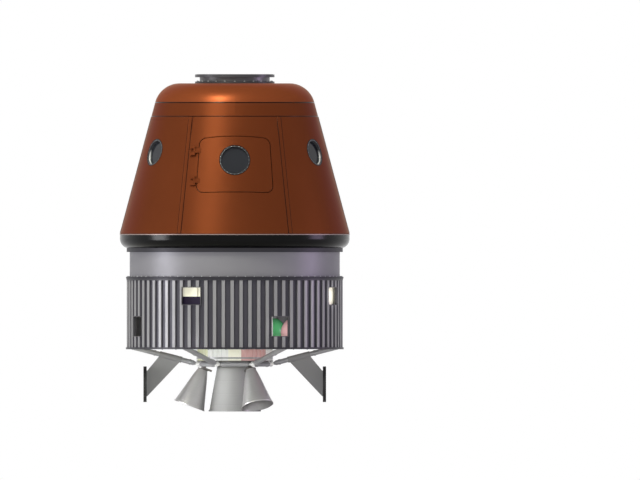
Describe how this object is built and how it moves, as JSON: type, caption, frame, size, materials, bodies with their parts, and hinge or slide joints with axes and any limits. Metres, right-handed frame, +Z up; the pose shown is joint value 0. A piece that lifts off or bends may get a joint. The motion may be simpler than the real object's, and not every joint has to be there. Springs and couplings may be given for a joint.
{
  "type": "crew space capsule with service module",
  "caption": "Conical crew capsule with side hatch, windows and docking hatch on a ribbed service module with canted rocket nozzles.",
  "frame": {"origin": "centre line at the exit of the main nozzle, which is the lowest point", "axes": "+Z up along the centre line towards the docking ring; -Y is the front with the crew hatch; +X to the right of a viewer in front"},
  "size_m": [3.106, 3.106, 4.55],
  "materials": {
    "ablator_brown": "satin brown thermal coating",
    "shield_black": "matt black charring layer",
    "ring_dark": "dark grey anodised metal",
    "light_seam": "pale grey painted metal",
    "shell_grey": "smooth satin grey paint",
    "wall_grey": "satin grey paint",
    "frame_grey": "satin grey paint",
    "joint_white": "white paint",
    "deck_grey": "matt grey paint",
    "tube_grey": "brushed sheet",
    "tank_green": "gloss green paint",
    "tank_pink": "gloss pink paint",
    "tank_cream": "gloss cream paint",
    "tank_silver": "polished",
    "box_cream": "satin cream paint",
    "box_dark": "satin dark violet paint",
    "nozzle_metal": "spun metal, satin",
    "engine_metal": "satin",
    "antenna_grey": "satin dark grey paint",
    "arm_grey": "satin grey paint",
    "window_glass": "dark tinted",
    "window_ring": "dark satin metal",
    "hinge_metal": "dark satin",
    "cabin_grey": "pale grey paint",
    "couch_fabric": "woven, padded",
    "console_grey": "matt dark grey paint"
  },
  "bodies": {
    "root": {"docking_ring": "ring_dark", "crown_dome": "ablator_brown", "upper_band": "ablator_brown", "front_panel": "ablator_brown", "right_window_panel": "ablator_brown", "right_rear_panel": "ablator_brown", "rear_panel": "ablator_brown", "left_rear_panel": "ablator_brown", "left_window_panel": "ablator_brown", "hatch_hinge": "hinge_metal", "side_window_frames": "window_ring", "side_window_glass": "window_glass", "shoulder_ring": "light_seam", "heat_shield": "shield_black", "adapter_ring": "shell_grey", "service_base_ring": "shell_grey", "service_top_ring": "shell_grey", "front_service_wall": "wall_grey", "right_service_wall": "wall_grey", "rear_service_wall": "wall_grey", "left_service_wall": "wall_grey", "port_frames": "frame_grey", "mid_deck": "deck_grey", "upper_deck": "deck_grey", "thrust_tube": "tube_grey", "thrust_plate": "engine_metal", "engine_bulkhead": "deck_grey", "silver_tanks": "tank_silver", "pink_tanks": "tank_pink", "cream_tanks": "tank_cream", "green_tanks": "tank_green", "tank_cradles": "deck_grey", "dark_boxes": "box_dark", "cream_boxes": "box_cream", "frame_joints": "joint_white", "frame_tubes": "tube_grey", "thrust_struts": "tube_grey", "main_nozzle": "nozzle_metal", "main_engine": "engine_metal", "right_side_nozzle": "nozzle_metal", "rear_side_nozzle": "nozzle_metal", "left_side_nozzle": "nozzle_metal", "side_engine_mounts": "engine_metal", "antenna_arms": "arm_grey", "antennas": "antenna_grey", "cabin_floor": "cabin_grey", "couches": "cabin_grey", "couch_pads": "couch_fabric", "couch_stand": "cabin_grey", "instrument_console": "console_grey"},
    "hatch_body": {"crew_hatch": "ablator_brown", "hatch_window_frame": "window_ring", "hatch_window_glass": "window_glass"},
    "lid_body": {"docking_hatch": "ring_dark"}
  },
  "joints": [
    {"name": "crew_hatch_hinge", "type": "hinge", "parent": "root", "child": "hatch_body", "pos_m": [-0.5455, -1.21089, 3.31785], "axis": [0, -0.2581, -0.9661], "range_deg": [0, 110]},
    {"name": "docking_hatch_hinge", "type": "hinge", "parent": "root", "child": "lid_body", "pos_m": [0, 0.388, 4.5013], "axis": [-1, 0, 0], "range_deg": [0, 95]}
  ]
}
